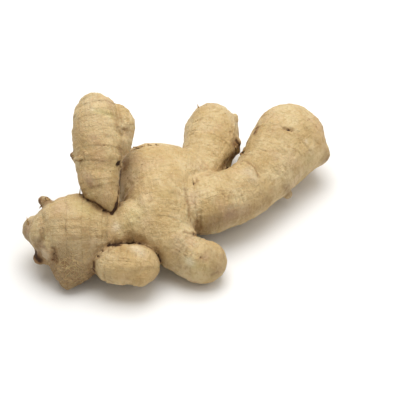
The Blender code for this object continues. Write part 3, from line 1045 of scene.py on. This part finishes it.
def skin_colour(p):
    """The skin's colour with its spots, bark and marks, and painted shade in its creases, seams and
    pits.
    """
    colour = growth_colour(p)
    spots = p.times(p.ramp(p.cells(0.004), 0.17, 0.06), p.ramp(p.clouds(0.006, 1.0), 0.48, 0.6))
    colour = p.mix(p.times(spots, 0.7), colour, BROWN)
    # Old bark, with painted shade under the largest finger.
    old = p.times(p.value("old"), p.ramp(p.clouds(0.005, 4.0), 0.2, 0.6, 0.5, 1.0))
    colour = p.mix(old, colour, BARK)
    for name, (strength, over) in EVEN_MARKS.items():
        colour = p.mix(p.times(p.value(name), strength), colour, over)
    rough_edge = p.ramp(p.clouds(0.0016, 3.0), 0.3, 0.55, 0.45, 1.0)
    # Brown stains, and painted shade along creases and under the fingers.
    colour = p.mix(p.times(p.value("stain_and_shade"), rough_edge), colour, BROWN)
    netted = p.value("netted")
    colour = p.mix(p.times(netted, 0.42), colour, RUST)
    colour = p.mix(p.times(netted, bark_lines(p, 1), 0.75), colour, TAN)
    # Painted shade in creases and along seams, with a few real dark marks.
    crease_shade_and_marks = p.value("crease_shade_and_marks")
    colour = p.mix(p.ramp(crease_shade_and_marks, 0.0, 0.45, 0, 0.6), colour, RUST)
    colour = p.mix(p.ramp(crease_shade_and_marks, 0.28, 0.62), colour, SHADE_AND_MARK_BROWN)
    # Pits painted dark: partly real dark dots and scars, partly painted shade in holes and slits.
    return p.mix(p.ramp(p.value("pit"), 0.15, 0.9), colour, SHADE_AND_MARK_BROWN)


def skin_bumps(p):
    """Fine grain of the papery skin: pebbles, fibres along the growth and broken rings across it."""
    own = p.value("own")
    pebbles = p.times(p.clouds(0.0013, 5.0, roughness=0.65), 0.8)
    fibres = p.times(own, p.streaks(0.7, 5.0), 0.35)
    dashes = p.times(own, p.streaks(3.5, 0.7), 0.45)
    threads = p.times(p.value("netted"), bark_lines(p, 0.7))
    bump = p.nodes.new("ShaderNodeBump")
    bump.inputs["Strength"].default_value = 1.0
    bump.inputs["Distance"].default_value = BUMP_HEIGHT
    p.wire(p.plus(pebbles, fibres, dashes, threads), bump.inputs["Height"])
    return bump.outputs["Normal"]


def new_material(name):
    material = bpy.data.materials.new(name)
    material.use_nodes = True
    return material


def skin_material():
    """Ginger's thin matt skin, which lets a little light through."""
    material = new_material("ginger_skin")
    p = Painter(material)
    p.wire(skin_colour(p), p.shader.inputs["Base Color"])
    p.wire(skin_bumps(p), p.shader.inputs["Normal"])
    p.wire(p.ramp(p.clouds(0.004, 3.0), 0.3, 0.7, *SKIN_ROUGHNESS), p.shader.inputs["Roughness"])
    p.shader.inputs["Specular IOR Level"].default_value = SKIN_SPECULAR
    p.shader.inputs["Subsurface Weight"].default_value = SKIN_GLOW
    p.shader.inputs["Subsurface Radius"].default_value = SKIN_GLOW_RADIUS
    p.shader.inputs["Subsurface Scale"].default_value = 1.0
    return material


def scale_material():
    """Dried scales and spikes: dark and papery, with lighter flecks."""
    material = new_material("dried_scale")
    p = Painter(material)
    flecks = p.ramp(p.clouds(0.001, 3.0), 0.35, 0.6)
    p.wire(p.mix(flecks, SCALE_BROWN, OCHRE), p.shader.inputs["Base Color"])
    p.shader.inputs["Roughness"].default_value = SCALE_ROUGHNESS
    return material


def add_scale(shape, tree, pixel, lean, length, width, lift):
    """Adds one dried scale: a thin pointed sheet, curled up from the skin that it is rooted in."""
    root, normal = landed(tree, pixel)
    way = PHOTO_RIGHT * lean[0] - PHOTO_UP * lean[1]
    way = (way - normal * way.dot(normal)).normalized()
    side = way.cross(normal)
    rows = []
    for step in range(SCALE_STEPS + 1):
        t = step / SCALE_STEPS
        height = lift * t**2 - SCALE_DEPTH
        middle = root + way * length * (t - SCALE_BEHIND) + normal * height
        half = side * width / 2 * math.sqrt(max(SCALE_LEAST, 1 - t**2))
        curl = normal * SCALE_CURL * (1 - t)
        for out in (normal * (-SCALE_THICKNESS / 2), normal * (SCALE_THICKNESS / 2)):
            spots = (middle - half, middle + curl, middle + half)
            rows.append([shape.verts.new(spot + out) for spot in spots])
    under, over = rows[0::2], rows[1::2]
    for near, far, top_near, top_far in zip(under, under[1:], over, over[1:]):
        for i in range(2):
            shape.faces.new((near[i], far[i], far[i + 1], near[i + 1]))
            shape.faces.new((top_near[i], top_near[i + 1], top_far[i + 1], top_far[i]))
        shape.faces.new((near[0], top_near[0], top_far[0], far[0]))
        shape.faces.new((near[2], far[2], top_far[2], top_near[2]))
    for bottom, top in ((under[0], over[0]), (under[-1], over[-1])):
        for i in range(2):
            shape.faces.new((bottom[i], bottom[i + 1], top[i + 1], top[i]))


def add_spike(shape, tree, root_pixel, tip_pixel, radius):
    """Adds one thin spike, a bent cone from the skin to a tip as far off as its root."""
    root, normal = landed(tree, root_pixel)
    camera, ray = photo_ray(tip_pixel)
    tip = camera + ray * (root - camera).length
    way = (tip - root).normalized()
    side = way.orthogonal().normalized()
    other = way.cross(side)
    root = root - way * radius
    turns = [math.tau * i / SPIKE_SIDES for i in range(SPIKE_SIDES)]
    spokes = [side * math.cos(turn) + other * math.sin(turn) for turn in turns]
    rings = []
    for t in SPIKE_RINGS:
        middle = root.lerp(tip, t) + normal * SPIKE_BEND * math.sin(math.pi * t)
        girth = radius * (1 - t)
        rings.append([shape.verts.new(middle + spoke * girth) for spoke in spokes])
    point = shape.verts.new(tip)
    for i in range(SPIKE_SIDES):
        j = (i + 1) % SPIKE_SIDES
        for near, far in zip(rings, rings[1:]):
            shape.faces.new((near[i], near[j], far[j], far[i]))
        shape.faces.new((rings[-1][i], rings[-1][j], point))
    shape.faces.new(rings[0][::-1])


def dried_bits(tree):
    """The dried scales and spikes, as one piece."""
    shape = bmesh.new()
    for scale in SCALES:
        add_scale(shape, tree, *scale)
    for spike in SPIKES:
        add_spike(shape, tree, *spike)
    return object_of(shape, "dried_bits")


def finish_piece(obj, material):
    """Brings a piece from millimetres to metres, and gives it its finish and body."""
    obj.data.transform(Matrix.Diagonal((MM, MM, MM, 1)))
    obj.data.shade_smooth()
    obj.data.materials.clear()
    obj.data.materials.append(material)
    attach(obj, "root")


def add_floor():
    bpy.ops.mesh.primitive_plane_add(size=FLOOR_SIZE, location=(0, 0, -FLOOR_DROP))
    floor = bpy.context.object
    floor.name = "floor"
    material = new_material("pale_floor")
    shader = material.node_tree.nodes["Principled BSDF"]
    shader.inputs["Base Color"].default_value = (*FLOOR_COLOUR, 1)
    shader.inputs["Roughness"].default_value = FLOOR_ROUGHNESS
    floor.data.materials.append(material)


def light_studio():
    """A wide soft box above the root, a smaller one at its side, and an even room light."""
    for name, (place, size, power) in LIGHTS.items():
        lamp = linked(name, bpy.data.lights.new(name, "AREA"))
        lamp.data.energy = power
        lamp.data.size = size
        lamp.location = place
        lamp.rotation_euler = (-Vector(place)).to_track_quat("-Z", "Y").to_euler()
    world = bpy.data.worlds.new("white_room")
    world.use_nodes = True
    background = world.node_tree.nodes["Background"]
    background.inputs["Color"].default_value = (*ROOM_COLOUR, 1)
    background.inputs["Strength"].default_value = ROOM_LIGHT
    bpy.context.scene.world = world
    bpy.context.scene.view_settings.view_transform = "Standard"


def add_camera():
    """The photograph's camera, which aims at the table under the front crook."""
    camera = linked("camera", bpy.data.cameras.new("camera"))
    camera.data.lens = CAMERA_LENS
    camera.data.sensor_width = CAMERA_SENSOR
    spot, ray = photo_ray((PHOTO_MIDDLE, PHOTO_MIDDLE))
    camera.location = spot * MM
    camera.rotation_euler = ray.to_track_quat("-Z", "Y").to_euler()
    bpy.context.scene.camera = camera


def main():
    add_camera()
    lobes = skeleton()
    skin, tree = grown_skin(lobes)
    paint(skin, lobes, tree)
    bits = dried_bits(tree)
    finish_piece(skin, skin_material())
    finish_piece(bits, scale_material())
    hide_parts("ginger_root")
    add_floor()
    light_studio()


main()
